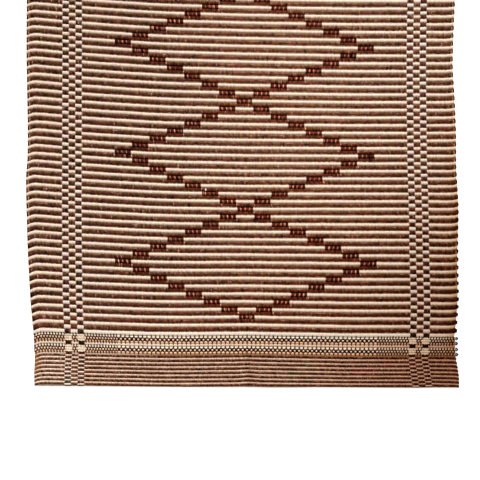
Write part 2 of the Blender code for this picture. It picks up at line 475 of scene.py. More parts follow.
def keep_counts(mesh, woven):
    """Keeps what each point and face is told apart by, for the material to read."""
    ends, alongs = woven.ends, woven.alongs
    creams, browns = painted_shade_and_tone(ends, alongs)
    kept = {
        "end": ends,
        "pick": woven.picks,
        "edge_line": edge_line(ends, woven.picks),
        "lightness": read_off(ends, LIGHT_ACROSS) * read_off(alongs, LIGHT_ALONG),
        "rust": rust(ends, alongs),
        # Painted shade in the hem and the near right corner, painted light at the left of the hem, and
        # the golden right edge, as tints
        "cream_tint": tint(creams, CREAM_TINTS),
        "brown_tint": tint(browns, BROWN_TINTS),
        "underside": woven.is_under.astype(float),
    }
    for name in ("cream", "brown"):
        dyes = np.array([linear(getattr(rib.band, name)) for rib in RIBS])
        kept[name] = dyes[woven.rib_of_face]
    for name, values in kept.items():
        domain = "POINT" if len(values) == len(mesh.vertices) else "FACE"
        kind, slot = ("FLOAT_COLOR", "color") if values.ndim == 2 else ("FLOAT", "value")
        mesh.attributes.new(name, kind, domain).data.foreach_set(slot, values.ravel())


# The cloth laid out on one square picture: the near half of its face on the left, the far half beside
# it, then the underside. Places on it are shares of its width.
HALF_WIDE, UNDER_FROM, UNDER_TO = 0.425, 0.862, 0.996
MAP_EDGE, MAP_TOP = 0.004, 0.99
WALL_WIDE = 0.004  # each selvage, below the line of its turn
CAP_FROM, CAP_TO = 0.993, 0.998  # the two cut ends, along the top of the picture


def under_places(under):
    """Where the points of the underside lie across the picture, from the right selvage to the left."""
    places = np.interp(-under, (-RIGHT_END, LEFT_END), (UNDER_FROM + WALL_WIDE, UNDER_TO - WALL_WIDE))
    return np.concatenate(([UNDER_FROM], places, [UNDER_TO]))


def lay_out(mesh, woven):
    """Lays the cloth out flat on its picture, under the name that the exporter looks for."""
    face, under = face_ends(), under_ends()
    ring = len(face) + len(under)
    picks = woven.picks.reshape(-1, ring)[:, 0]
    share = np.interp(face, (-LEFT_END, RIGHT_END), (0, 1))
    starts = np.concatenate((share[:-1], under_places(under)[:-1]))
    ends = np.concatenate((share[1:], under_places(under)[1:]))
    is_face = np.arange(ring) < len(face) - 1
    middle = PICKS / 2
    first, last = picks[0], picks[-1]
    spots = []
    for near, far in zip(picks[:-1], picks[1:]):
        in_far_half = (near + far) / 2 > middle
        begin, end = (middle, last) if in_far_half else (first, middle)
        across_face = MAP_EDGE + in_far_half * (HALF_WIDE + MAP_EDGE)
        left = np.where(is_face, across_face + starts * HALF_WIDE, starts)
        right = np.where(is_face, across_face + ends * HALF_WIDE, ends)
        low, high = (
            np.where(is_face, (pick - begin) / (end - begin), (pick - first) / (last - first))
            * (MAP_TOP - MAP_EDGE)
            + MAP_EDGE
            for pick in (near, far)
        )
        corners = ((left, low), (right, low), (right, high), (left, high))
        spots.append(np.stack([np.stack(corner, axis=1) for corner in corners], axis=1))
    flat = np.concatenate(spots).reshape(-1, 2)
    cap_across = np.concatenate((share, np.interp(under, (-LEFT_END, RIGHT_END), (0, 1))))
    cap_up = np.concatenate((np.full(len(face), CAP_TO), np.full(len(under), CAP_FROM)))
    caps = []
    for begin, step in ((MAP_EDGE, -1), (MAP_EDGE + HALF_WIDE + MAP_EDGE, 1)):
        caps.append(np.column_stack((begin + cap_across * HALF_WIDE, cap_up))[::step])
    layer = mesh.uv_layers.new(name="OFBake", do_init=False)
    layer.uv.foreach_set("vector", np.concatenate((flat, *caps)).astype(np.float32).ravel())


def put_in_scene(name, data):
    """An object that shows a mesh, a camera or a light."""
    item = bpy.data.objects.new(name, data)
    bpy.context.scene.collection.objects.link(item)
    return item


def place_piece(name, points, faces):
    """A smooth mesh as an object. Its points are in mm."""
    mesh = bpy.data.meshes.new(name)
    mesh.from_pydata((np.array(points) * MM).tolist(), [], faces)
    mesh.shade_smooth()
    return put_in_scene(name, mesh)


def make_cloth():
    """The cloth, moved so that it lies in the same box as the solid that it replaces."""
    woven = weave_cloth()
    low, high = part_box("rug")
    middle = np.array([(low[axis] + high[axis]) / 2 for axis in (0, 1)]) / MM
    outline = woven.points[:, :2]
    shift = middle - (outline.min(axis=0) + outline.max(axis=0)) / 2
    cloth = place_piece("rug_cloth", woven.points + [*shift, 0.0], woven.faces)
    keep_counts(cloth.data, woven)
    lay_out(cloth.data, woven)
    return cloth, shift


# At the right selvage the fine weft of the checks turns back in small loops, one for every two picks
LOOP_PICKS = (16.5, 18.5, 20.5, 22.5)
LOOP_HALF = 0.42  # picks, half of a loop's length
LOOP_INSIDE, LOOP_BULGE = 0.2, 2.6  # mm, how far in a loop starts and how far it stands out from there
LOOP_THICK = 1.5  # mm, radius of the doubled yarn
LOOP_TAPER = 0.6  # how thin a loop is at its two ends, as a share of its section
LOOP_STEPS, LOOP_SIDES = 10, 8


def loop_line(pick):
    """The middle line of the loop around a pick, from its near end to its far one."""
    line = []
    for step in range(LOOP_STEPS + 1):
        turn = math.pi * step / LOOP_STEPS
        here = pick - LOOP_HALF * math.cos(turn)
        x, y = lay(np.array([RIGHT_END]), int(here), here - int(here))
        line.append((x[0] - LOOP_INSIDE + LOOP_BULGE * math.sin(turn), y[0], EDGE_HEIGHT))
    return np.array(line)


def make_loops(shift):
    """The weft's loops at both ends of the rug, as closed tubes."""
    picks = LOOP_PICKS + tuple(PICKS - pick for pick in LOOP_PICKS)
    points, faces = [], []
    for pick in picks:
        line = loop_line(pick)
        ahead = np.gradient(line, axis=0)
        ahead /= np.linalg.norm(ahead, axis=1, keepdims=True)
        outward = np.cross(ahead, (0.0, 0.0, 1.0))
        first = len(points)
        for step, (centre, out) in enumerate(zip(line, outward)):
            taper = LOOP_THICK * math.sqrt(max(LOOP_TAPER, math.sin(math.pi * step / LOOP_STEPS)))
            for side in range(LOOP_SIDES):
                angle = 2 * math.pi * side / LOOP_SIDES
                lifted = np.array((0.0, 0.0, math.sin(angle)))
                points.append(centre + taper * (math.cos(angle) * out + lifted))
        rings = np.arange(first, len(points)).reshape(-1, LOOP_SIDES)
        turned = np.roll(rings, -1, axis=1)
        sides = np.stack((rings[:-1], rings[1:], turned[1:], turned[:-1]), axis=2)
        faces += sides.reshape(-1, 4).tolist()
        faces += [rings[0].tolist(), rings[-1].tolist()[::-1]]
    return place_piece("weft_loops", np.array(points) + [*shift, 0.0], faces)


# The kinds of node that the materials are built from, each with its settings
Kind = namedtuple("Kind", "node settings", defaults=({},))
PLUS, MINUS, TIMES, OVER, TIMES_PLUS, REMAINDER, POWER, ABSOLUTE, SIGN, FLOOR, ROUND, COSINE = (
    Kind("ShaderNodeMath", {"operation": name})
    for name in (
        "ADD", "SUBTRACT", "MULTIPLY", "DIVIDE", "MULTIPLY_ADD", "FLOORED_MODULO", "POWER", "ABSOLUTE",
        "SIGN", "FLOOR", "ROUND", "COSINE",
    )
)
MINIMUM, MAXIMUM, LESS_THAN, GREATER_THAN, COMPARE = (
    Kind("ShaderNodeMath", {"operation": name})
    for name in ("MINIMUM", "MAXIMUM", "LESS_THAN", "GREATER_THAN", "COMPARE")
)
MIX = "ShaderNodeMix"
BLEND = Kind(MIX, {"data_type": "FLOAT"})  # between two numbers
DYE = Kind(MIX, {"data_type": "RGBA"})  # between two colours
TINT = Kind(MIX, {"data_type": "RGBA", "blend_type": "MULTIPLY"})
RANGE = Kind("ShaderNodeMapRange")  # brings a value from one range to another
PLACE = Kind("ShaderNodeCombineXYZ")
SCALE = Kind("ShaderNodeVectorMath", {"operation": "MULTIPLY"})
OWN_PLACE = Kind("ShaderNodeTexCoord")
DRIFT = Kind("ShaderNodeTexNoise", {"noise_dimensions": "2D"})
TWIST = Kind("ShaderNodeTexNoise")
CHANCE = Kind("ShaderNodeTexWhiteNoise", {"noise_dimensions": "2D"})
ATTRIBUTE = Kind("ShaderNodeAttribute")
GREY = Kind("ShaderNodeCombineColor")
BUMP = Kind("ShaderNodeBump")

WHITE = "#FFFFFF"


class Recipe:
    """A material's node tree, built one node after another."""

    def __init__(self, name):
        self.material = bpy.data.materials.new(name)
        self.material.use_nodes = True
        self.links = self.material.node_tree.links
        self.surface = self.material.node_tree.nodes["Principled BSDF"]

    def give(self, socket, value):
        """Gives a socket another node's output, a number, or a colour in hex."""
        if isinstance(value, bpy.types.NodeSocket):
            self.links.new(value, socket)
        else:
            socket.default_value = linear(value) if isinstance(value, str) else value

    def add(self, kind, *values, output=None, **settings):
        """Adds a node with its settings. Each value, or output of another node, goes to the next
        input that the node shows. Returns the output that is named, or the first one shown."""
        node = self.material.node_tree.nodes.new(kind.node)
        for name, setting in {**kind.settings, **settings}.items():
            setattr(node, name, setting)
        inputs = [socket for socket in node.inputs if socket.enabled]
        for socket, value in zip(inputs, values):
            self.give(socket, value)
        return node.outputs[output] if output else next(s for s in node.outputs if s.enabled)

    def finish_with(self, **values):
        """Sets the surface's own sockets, or links them."""
        for name, value in values.items():
            self.give(self.surface.inputs[name.replace("_", " ")], value)
        return self.material


# The waves of the yarn, as turns to an end and turns to a pick
CROSSING_WAVES = (0.52, 5.3, 1.0)
CREAM_WAVES = (0.11, 0.6, 1.0)
BROWN_WAVES = (0.09, 2.7, 1.0)
STREAK_WAVES = (0.52, 3.7, 1.0)
GRAIN_WAVES = (0.8, 3.0, 1.0)

# The ground. Widths are in ends, and lengths along the rug in picks.
HEM_LATEST, LATEST = 0.32, 0.22  # how far off a valley an end may cross it, in the hems and elsewhere
LATEST_FROM, LATEST_TO = HEM.ribs - 0.5, HEM.ribs + 1.0  # where the one gives way to the other
COLUMN_HALF = 4.35  # half the width of a turned column
CREAM_END_AT, CREAM_END_HALF = 4.53, 0.18  # the cream end beside a column
DARK_MIDDLE = 0.55  # in the first rib and every other one
CREAM_REACH = 0.555  # from the middle of a cream rib to where the dark ends close over it
LIGHT_REACH = 0.08  # what it gains where the cloth is lightest
COLUMN_LOSS, HEM_COLUMN_LOSS = -0.06, -0.09  # in the turned columns
EDGE_LOSS, EDGE_LOSS_WIDE = -0.15, 7.0  # at a selvage
HEM_REACH = 0.60


def draw_waves(add, across, along, waves, detail, roughness):
    place = add(SCALE, add(PLACE, across, along, 0.0), waves)
    return add(DRIFT, place, 1.0, detail, roughness)


def count_threads(add):
    """What each point of the yarn is told apart by: its end, its rib and its place in the rib."""
    at = SimpleNamespace()
    for name in ("end", "pick", "underside", "edge_line", "lightness", "rust"):
        setattr(at, name, add(ATTRIBUTE, output="Fac", attribute_name=name))
    at.side = add(SIGN, at.end)
    at.count = add(ABSOLUTE, at.end)
    edge_end = add(TIMES_PLUS, at.side, (RIGHT_END - LEFT_END) / 2, (LEFT_END + RIGHT_END) / 2)
    at.from_edge = add(MINUS, edge_end, at.count)

    # An end crosses each valley early or late, alone and together with the ends beside it
    thread = add(ROUND, at.end)
    valley = add(ROUND, at.pick)
    alone = add(CHANCE, add(PLACE, thread, valley, 0.0))
    together = draw_waves(add, at.end, valley, CROSSING_WAVES, 1.0, 0.5)
    from_hem = add(MINIMUM, at.pick, add(MINUS, PICKS, at.pick))
    latest = add(RANGE, from_hem, LATEST_FROM, LATEST_TO, HEM_LATEST, LATEST)
    late = add(MINUS, add(PLUS, alone, together), 1.0)
    late = add(TIMES, late, latest)
    at.crossing = add(PLUS, at.pick, late)
    at.rib = add(FLOOR, at.crossing)
    at.share = add(MINUS, at.crossing, at.rib)
    at.chance = add(CHANCE, add(PLACE, thread, add(PLUS, at.rib, 0.5), 0.0))

    # Both ends of the rug are woven alike, so borders are counted from the nearer hem
    from_far = add(MINUS, PICKS, at.crossing)
    at.border = add(MINIMUM, at.crossing, from_far)
    at.in_hem = add(LESS_THAN, at.border, HEM.ribs)
    at.in_field = add(GREATER_THAN, at.border, DIAMONDS_FROM)
    return at


def raise_ground(add, at):
    """1 where cream ends are up: over every other rib, and the other way round in columns A and C."""
    at.from_b = add(MINUS, at.count, COLUMN_MIDDLE)
    in_column = add(MINUS, add(ABSOLUTE, at.from_b), COLUMN_STEP)
    at.in_column = add(ABSOLUTE, in_column)
    at.turned = add(LESS_THAN, at.in_column, COLUMN_HALF)
    cream_end = add(COMPARE, at.in_column, CREAM_END_AT, CREAM_END_HALF)
    from_cream = add(REMAINDER, add(MINUS, at.crossing, DARK_MIDDLE), 2.0)
    at.from_cream = add(ABSOLUTE, add(MINUS, from_cream, 1.0))
    from_own = add(ABSOLUTE, add(MINUS, at.turned, at.from_cream))

    # Up the cream from its lower side, which can lie past the valley
    past = add(GREATER_THAN, from_own, 0.5)
    late_share = add(TIMES_PLUS, add(GREATER_THAN, at.share, 0.5), -2.0, 1.0)
    at.climb = add(TIMES_PLUS, past, late_share, at.share)
    field_reach = add(TIMES_PLUS, at.lightness, LIGHT_REACH, CREAM_REACH)
    field_reach = add(TIMES_PLUS, at.turned, COLUMN_LOSS, field_reach)
    field_reach = add(PLUS, add(RANGE, at.from_edge, 0.0, EDGE_LOSS_WIDE, EDGE_LOSS, 0.0), field_reach)
    hem_reach = add(TIMES_PLUS, at.turned, HEM_COLUMN_LOSS, HEM_REACH)
    reach = add(BLEND, at.in_hem, field_reach, hem_reach)
    return add(MAXIMUM, add(LESS_THAN, from_own, reach), cream_end)


# The diamonds, from the middle of a block. Across is in ends and along is in picks.
BLOCK_HALF, BLOCK_OFF = 11.35, 0.5  # half its width, and how far inwards it lies
BLOCK_REACH = 0.75  # from the middle of its cream rib to where the block ends
FLECK_WIDE, FLECK_LONG = 1.0, 0.50  # half the width and half the length of a fleck
FLECK_LEAN = 1.1  # ends to a pick
FLECK_FAINT, FLECK_CHANCE = 0.35, 0.55  # how plain the faintest is, and what others add to that
TRAIL_AT, TRAIL_WIDE = 12.4, 0.5  # the cream end that shows below a block's right side
TRAIL_BELOW, TRAIL_LONG = 0.75, 0.3


def raise_diamonds(add, at, up):
    """Over every cream rib a block of dark ends stays up from one dark rib to the next, one step
    further out or in each time, and a flushed cream end shows here and there between them."""
    half_pick = add(TIMES_PLUS, at.crossing, 0.5, -0.25)
    block_row = add(FLOOR, half_pick)
    row_middle = add(TIMES_PLUS, block_row, 2.0, 1.5)
    below = add(MINUS, row_middle, at.crossing)
    at.away = add(ABSOLUTE, below)
    step = add(PLUS, block_row, -(FIRST_FIELD_RIB / 2 + 1))
    step = add(REMAINDER, step, 2 * DIAMOND_ARM)
    step = add(ABSOLUTE, add(MINUS, step, DIAMOND_ARM))
    block_middle = add(TIMES_PLUS, step, -DIAMOND_STEP, DIAMOND_ARM * DIAMOND_STEP)
    from_block = add(MINUS, at.count, block_middle)
    near_block = add(ABSOLUTE, add(PLUS, from_block, BLOCK_OFF))
    near_block = add(LESS_THAN, near_block, BLOCK_HALF)
    at.block = add(TIMES, near_block, at.in_field)
    over_cream = add(LESS_THAN, at.from_cream, BLOCK_REACH)
    up = add(BLEND, add(TIMES, at.block, over_cream), up, 0.0)

    # Three flecks to a block
    across_fleck = add(PLUS, from_block, FLECK_STEP / 2)
    across_fleck = add(REMAINDER, across_fleck, FLECK_STEP)
    leaning = add(TIMES_PLUS, below, FLECK_LEAN, -FLECK_STEP / 2)
    across_fleck = add(OVER, add(PLUS, across_fleck, leaning), FLECK_WIDE)
    along_fleck = add(OVER, at.away, FLECK_LONG)
    round_fleck = add(POWER, along_fleck, 2.0)
    round_fleck = add(PLUS, add(POWER, across_fleck, 2.0), round_fleck)
    fleck = add(TIMES, add(LESS_THAN, round_fleck, 1.0), at.block)
    fleck_shows = add(TIMES_PLUS, at.chance, FLECK_CHANCE, FLECK_FAINT)
    at.fleck = add(TIMES, fleck, fleck_shows)

    # Below the cream that starts on the right of a block, its first end shows in the dark rib too
    trail = add(COMPARE, add(TIMES, at.side, from_block), TRAIL_AT, TRAIL_WIDE)
    trail = add(TIMES, trail, add(COMPARE, below, TRAIL_BELOW, TRAIL_LONG))
    at.fleck = add(MAXIMUM, at.fleck, add(TIMES, trail, at.in_field))
    return up


# The checks. Widths are in ends, and lengths in picks from the thin line or from a row of spots.
CHECKS_REPEAT = 4.0  # from one row of spots to the next, across the thin line
BORDER_HALF, CHECKS_HALF = 4.5, 3.5  # from the thin line to past the tan line, and to past the checks
GROUP_HALF, ROW_HALF = 1.5, 0.5  # of the three ribs of checks, and of the row of spots between them
LOWER_FROM, LOWER_TO = 0.8, -0.9  # down through a group of checks
OUTER_FROM = 180.0  # where the closer checks of the outer band start
STROKE_STEP, OUTER_STROKE_STEP = 6.0, 4.0
STROKE_AT, OUTER_STROKE_AT, OUTER_STROKE_SIDE = 0.2, 0.85, -0.3  # the first stroke off the middle line
OUTER_LEAN = -0.35  # ends to a pick
STROKE_NARROWEST, STROKE_CHANCE = 0.70, 0.3
STROKE_FROM, STROKE_TO = 0.50, 0.88  # where a stroke spreads, and where it is narrow
SPOT_WIDE, OUTER_SPOT_WIDE, SPOT_LONG = 1.32, 1.12, 0.45  # half the size of a spot
RIM_SHARE = 0.35  # of a check's swelling that its warm rim takes up
PATCH_HALF, PATCH_EXTRA = 4.8, 1.5  # a patch's half width, and how much wider it is beside the spots
PATCH_TALL, PATCH_TAPER, PATCH_OFF = 1.28, -0.03, 0.14  # half its length, and how far up it lies
COMB_REACH, COMB_END = 1.78, 3.80  # how far the strokes run on, from the spots and from the thin line


def raise_checks(add, at, up):
    """Checks: two groups of three short ribs, in which a chain of small cream spots runs between dark
    strokes that part the cream above and below it, with a patch of cream in columns A and C."""
    from_line = add(MINUS, at.border, THIN_LINE_MIDDLE)
    from_spots = add(MINUS, add(REMAINDER, from_line, CHECKS_REPEAT), CHECKS_REPEAT / 2)
    off_spots = add(ABSOLUTE, from_spots)
    from_line = add(ABSOLUTE, from_line)
    at.in_border = add(LESS_THAN, from_line, BORDER_HALF)
    fine = add(LESS_THAN, from_line, CHECKS_HALF)
    at.checks = add(TIMES, add(LESS_THAN, off_spots, GROUP_HALF), fine)
    at.in_line = add(MINUS, fine, at.checks)
    at.lower = add(RANGE, from_spots, LOWER_TO, LOWER_FROM, 1.0, 0.0)
    small_row = add(LESS_THAN, off_spots, ROW_HALF)
    at.outer = add(GREATER_THAN, at.count, OUTER_FROM)
    group = add(BLEND, at.outer, STROKE_STEP, OUTER_STROKE_STEP)
    half_group = add(TIMES, group, 0.5)
    outer_stroke = add(TIMES_PLUS, at.side, OUTER_STROKE_SIDE, OUTER_STROKE_AT)
    stroke = add(BLEND, at.outer, STROKE_AT, outer_stroke)
    lean = add(TIMES, add(TIMES, at.side, at.outer), OUTER_LEAN)
    leaning = add(TIMES_PLUS, from_spots, lean, at.end)
    from_stroke = add(PLUS, add(MINUS, leaning, stroke), half_group)
    spot_count = add(FLOOR, add(OVER, from_stroke, group))
    from_stroke = add(REMAINDER, from_stroke, group)
    from_stroke = add(ABSOLUTE, add(MINUS, from_stroke, half_group))
    narrowest = add(TIMES_PLUS, at.chance, STROKE_CHANCE, STROKE_NARROWEST)
    stroke_width = add(RANGE, off_spots, STROKE_FROM, STROKE_TO, half_group, narrowest)
    between = add(MINUS, from_stroke, stroke_width)
    spot_width = add(BLEND, at.outer, SPOT_WIDE, OUTER_SPOT_WIDE)
    across_spot = add(POWER, add(OVER, from_stroke, spot_width), 2.0)
    along_spot = add(POWER, add(OVER, off_spots, SPOT_LONG), 2.0)
    in_spot = add(MINUS, 1.0, add(PLUS, across_spot, along_spot))
    swelling = add(BLEND, small_row, between, in_spot, clamp_factor=True)
    dome = add(MINIMUM, add(MAXIMUM, swelling, 0.0), 1.0)
    at.dome = add(TIMES, dome, at.checks)
    at.rim = add(TIMES, add(RANGE, dome, 0.0, RIM_SHARE, 1.0, 0.0), at.checks)

    # The patches in columns A and C
    wide_patch = add(GREATER_THAN, add(TIMES, at.side, at.from_b), 0.0)
    wide_patch = add(TIMES, wide_patch, small_row)
    patch_width = add(TIMES_PLUS, wide_patch, PATCH_EXTRA, PATCH_HALF)
    patch_height = add(TIMES_PLUS, at.in_column, PATCH_TAPER, PATCH_TALL)
    from_patch = add(ABSOLUTE, add(MINUS, from_spots, PATCH_OFF))
    in_patch = add(LESS_THAN, at.in_column, patch_width)
    above_patch = add(GREATER_THAN, from_patch, patch_height)
    above_patch = add(TIMES, in_patch, above_patch)
    in_patch = add(MINUS, in_patch, above_patch)
    at.in_patch = add(TIMES, in_patch, at.checks)
    spot = add(GREATER_THAN, swelling, 0.0)
    spot = add(GREATER_THAN, spot, above_patch)
    spot = add(MAXIMUM, spot, at.in_patch)
    up = add(BLEND, at.checks, up, spot)
    spot_place = add(PLACE, spot_count, add(PLUS, at.rib, 0.5), 0.0)
    at.spot_chance = add(CHANCE, spot_place)

    # The strokes run on a little into the lines and the rib beside the checks
    comb = add(LESS_THAN, off_spots, COMB_REACH)
    comb = add(TIMES, comb, add(LESS_THAN, from_line, COMB_END))
    comb = add(GREATER_THAN, comb, at.checks)
    comb = add(TIMES, comb, add(LESS_THAN, between, 0.0))
    comb = add(TIMES, comb, add(GREATER_THAN, at.in_column, PATCH_HALF))
    return add(BLEND, comb, up, 0.0)


SLIPPED_WIDE, SLIPPED_LONG = 1.0, 0.34  # ends and picks, half the size of the end that has slipped
EDGE_LINE_IN, EDGE_LINE_WIDE = 2.8, 0.55  # ends in from the selvage, and half its width


def raise_slipped_end(add, at, up):
    """In one place a cream end has slipped up out of its shed."""
    beside = add(OVER, add(MINUS, at.end, SLIPPED_END), SLIPPED_WIDE)
    above = add(OVER, add(MINUS, at.pick, SLIPPED_PICK), SLIPPED_LONG)
    beside, above = (add(POWER, off, 2.0) for off in (beside, above))
    at.slipped = add(LESS_THAN, add(PLUS, beside, above), 1.0)
    return add(MAXIMUM, up, at.slipped)


def raise_edge_line(add, at, up):
    """A cream end runs inside each selvage, and shows where the edge doesn't curl under."""
    line = add(TIMES, add(COMPARE, at.from_edge, EDGE_LINE_IN, EDGE_LINE_WIDE), at.edge_line)
    return add(MAXIMUM, up, line)


# How the cream changes. Places across are in ends and places along the rug in picks, each pair from
# one end of a change to the other.
CREAM_DRIFT = (0.35, 0.65)  # of the waves, from pink to yellow
PALER_ACROSS, PALER_SHARE = (-120.0, -190.0), 0.85  # the tan line
DEEPER_ACROSS = (-180.0, RIGHT_END)  # the thin line
DULL_SHARE = 0.6  # the outer checks, low down
SPOT_CHANCE, SPOT_LIGHTEST = -0.3, 1.12
RIM_BROWN = 0.66
RIGHT_ACROSS, CORNER_ALONG = (-120.0, 290.0), (30.0, 95.0)

# Up a cream rib: where a tint starts, where it is full, and the tint. The foot is painted into warm
# shade, yellowing and then darkening where the brown between the ends also shows, and the very top is
# warm.
CREAM_TURNS = ((0.64, 0.15, "#F2DEC2"), (0.12, -0.12, "#B89080"), (0.96, 1.10, "#F0D0B2"))
# Painted shade on a cream rib's foot, warmer still towards the near right corner
CORNER_TURN = (0.34, 0.04, "#EEC29C")  # warmer still, towards the near right corner
FOOT_RAGGED = 0.24  # of a rib, how unevenly those tints start from one end to the next


def dye_cream(add, at):
    """Undyed cotton, a little pink here and a little yellow there. Where a rib turns down, the dark ends
    between show through, and painted shade darkens and warms it."""
    drift = add(RANGE, draw_waves(add, at.end, at.pick, CREAM_WAVES, 2.0, 0.6), *CREAM_DRIFT)
    undyed = add(DYE, drift, "#FFF2F0", "#FFFBEA")
    cream = add(TINT, 1.0, add(ATTRIBUTE, attribute_name="cream"), undyed)

    # The tan line is paler at the left
    in_tan_line = add(COMPARE, at.border, HEM.ribs + 0.5, 0.5)
    paler = add(TIMES, add(RANGE, at.end, *PALER_ACROSS, 0.0, PALER_SHARE), in_tan_line)
    cream = add(DYE, paler, cream, "#F2CDB6")

    # The outer checks are duller low down, and no two of them are quite alike
    outer_checks = add(TIMES, at.checks, at.outer)
    lower = add(TIMES, outer_checks, at.lower)
    cream = add(DYE, add(TIMES, lower, DULL_SHARE), cream, "#D6B08C")
    dim = add(MINIMUM, add(TIMES_PLUS, at.spot_chance, SPOT_CHANCE, SPOT_LIGHTEST), 1.0)
    dim = add(BLEND, outer_checks, 1.0, dim)
    dim = add(GREY, dim, dim, dim)
    cream = add(TINT, 1.0, cream, dim)

    # Brown shows round each check, but not round a patch, and the thin line deepens to the right
    cream = add(DYE, add(TIMES, at.rim, RIM_BROWN), cream, "#BC8656")
    cream = add(DYE, at.in_patch, cream, "#FCE4C8")
    deeper = add(TIMES, add(RANGE, at.end, *DEEPER_ACROSS), at.in_line)
    line_tint = add(DYE, deeper, WHITE, "#EECFC0")
    cream = add(TINT, 1.0, cream, line_tint)

    # The painted shade on the foot and the warm top of each rib, which start unevenly
    foot_shows = add(MINUS, 1.0, add(MAXIMUM, at.in_border, at.turned))
    ragged = add(TIMES_PLUS, add(MINUS, at.chance, 0.5), FOOT_RAGGED, at.climb)
    for start, full, code in CREAM_TURNS:
        foot = add(TIMES, add(RANGE, ragged, start, full), foot_shows, use_clamp=True)
        foot_tint = add(DYE, foot, WHITE, code)
        cream = add(TINT, 1.0, cream, foot_tint)

    # More painted shade on the foot towards the near right corner
    to_right = add(RANGE, at.end, *RIGHT_ACROSS)
    to_corner = add(TIMES, to_right, add(RANGE, at.crossing, *CORNER_ALONG, 1.0, 0.0))
    start, full, code = CORNER_TURN
    foot = add(TIMES, add(RANGE, ragged, start, full), foot_shows, use_clamp=True)
    foot = add(TIMES, foot, add(TIMES, to_corner, at.in_field))
    warmer = add(DYE, foot, WHITE, code)
    cream = add(TINT, 1.0, cream, warmer)
    return add(TINT, 1.0, cream, add(ATTRIBUTE, attribute_name="cream_tint"))


BROWN_DRIFT = (0.36, 0.64)  # of the waves, from mauve to olive
RED_ALONG, RED_SHARE = (1.4, 0.7), 0.85  # picks from the middle of a block
BROWN_GAIN, BROWN_LEAST = 0.59, 0.69  # what the field's brown gains where it is lightest
STRAY_CHANCE, STRAY_SHOWS = 0.983, 0.4  # a lighter fibre shows over a dark end here and there


def dye_brown(add, at):
    """Dark brown cotton that drifts between mauve and olive, and is redder in the diamonds."""
    drift = add(RANGE, draw_waves(add, at.end, at.rib, BROWN_WAVES, 2.0, 0.6), *BROWN_DRIFT)
    drifting = add(DYE, drift, "#6E342E", "#5E3E1A")
    half_field = add(TIMES, at.in_field, 0.5)
    brown = add(DYE, half_field, add(ATTRIBUTE, attribute_name="brown"), drifting)
    outer_checks = add(TIMES, at.checks, at.outer)
    brown = add(DYE, outer_checks, brown, "#5E2A12")
    redness = add(RANGE, at.away, *RED_ALONG, 0.0, RED_SHARE)
    redness = add(TIMES, redness, at.block)
    brown = add(DYE, redness, brown, "#5C2010")
    lighter = add(TIMES_PLUS, at.lightness, BROWN_GAIN, BROWN_LEAST)
    lighter = add(BLEND, at.in_field, 1.0, lighter)
    brown = add(TINT, 1.0, brown, add(GREY, lighter, lighter, lighter))
    stray = add(TIMES, add(GREATER_THAN, at.chance, STRAY_CHANCE), STRAY_SHOWS)
    brown = add(DYE, stray, brown, "#C08C78")
    return add(TINT, 1.0, brown, add(ATTRIBUTE, attribute_name="brown_tint"))


# How the streaks swing, and where the painted shade on a dark rib's foot and the painted light on its
# top start and end, as shares of the rib
STREAK_LEAN = 1.2  # ends to a pick
STREAK_SWING = (0.34, 0.66, -0.70, 0.36)  # from these values of the waves to these of the streak
STREAK_GAIN, STREAK_LOSS = 0.85, -0.30
GRAIN_GAIN, GRAIN_LEAST = 0.5, 0.75
FOOT, TOP = (0.05, 0.55), (0.50, 0.95)
# How dark the painted shade on a dark rib's foot is, and how light the painted light on its top
FOOT_SHADE, TOP_LIGHT = 0.36, 1.12  # how dark a dark rib's foot is, and how light its top
DARK_STREAKS, HEM_DARK_STREAKS = 1.25, 1.4
CREAM_STREAKS, PLAINER_CREAM_STREAKS = 0.14, 0.20  # the second is what the hem and the patches add
# Painted shade in the valleys between the checks, and how sharply it gathers at them
VALLEY_SHADE, VALLEY_SHARP = 0.2, 5.0  # in the valleys between the checks
# A painted highlight on the swelling of each spot of the checks
DOME_LIGHT = 0.16


